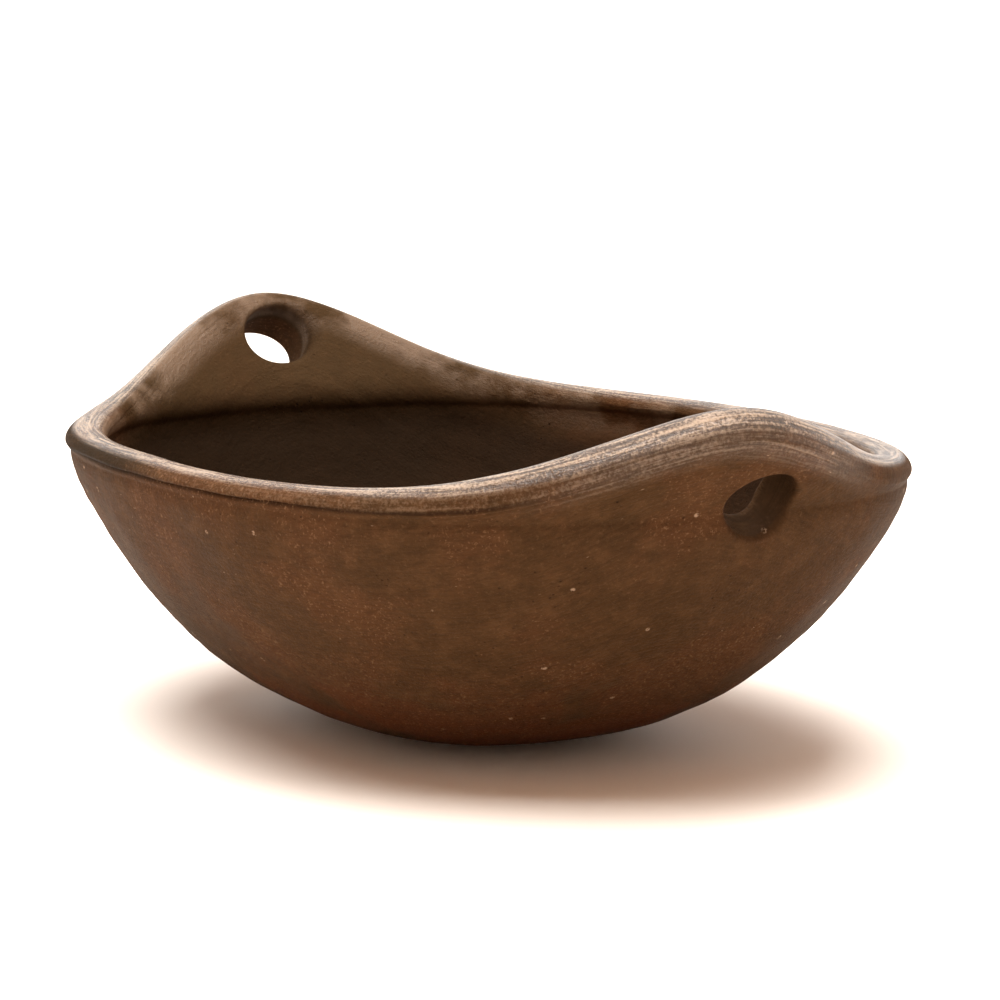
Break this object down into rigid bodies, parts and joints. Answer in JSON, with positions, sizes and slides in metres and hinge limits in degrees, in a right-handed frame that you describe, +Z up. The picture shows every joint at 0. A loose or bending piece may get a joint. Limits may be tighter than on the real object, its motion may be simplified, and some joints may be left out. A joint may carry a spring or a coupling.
{
  "type": "clay bowl lamp",
  "caption": "Oval hand-built clay bowl with a rolled rim and a raised ear at each end, pierced for a finger or a cord; holds lamp oil and a wick, or food.",
  "frame": {"origin": "centre of the flat foot, on the table", "axes": "+Z up; +X along the bowl's length, from the back ear to the front ear; +Y to the left of that"},
  "size_m": [0.2647, 0.1854, 0.0965],
  "materials": {
    "round_base": "dark reddish brown fired clay, burnished, rougher and redder low down",
    "bowl_wall": "dark brown fired clay, stone-burnished, fine wiping lines",
    "front_ear": "dark brown fired clay, burnished",
    "back_ear": "olive brown fired clay, burnished",
    "front_ear_roll": "brown fired clay, well burnished, long wiping lines",
    "back_ear_roll": "brown fired clay, well burnished",
    "left_rim_roll": "brown fired clay, well burnished",
    "right_rim_roll": "brown fired clay, well burnished"
  },
  "bodies": {
    "root": {"round_base": "round_base", "bowl_wall": "bowl_wall", "front_ear": "front_ear", "back_ear": "back_ear", "front_ear_roll": "front_ear_roll", "back_ear_roll": "back_ear_roll", "left_rim_roll": "left_rim_roll", "right_rim_roll": "right_rim_roll"}
  },
  "joints": []
}
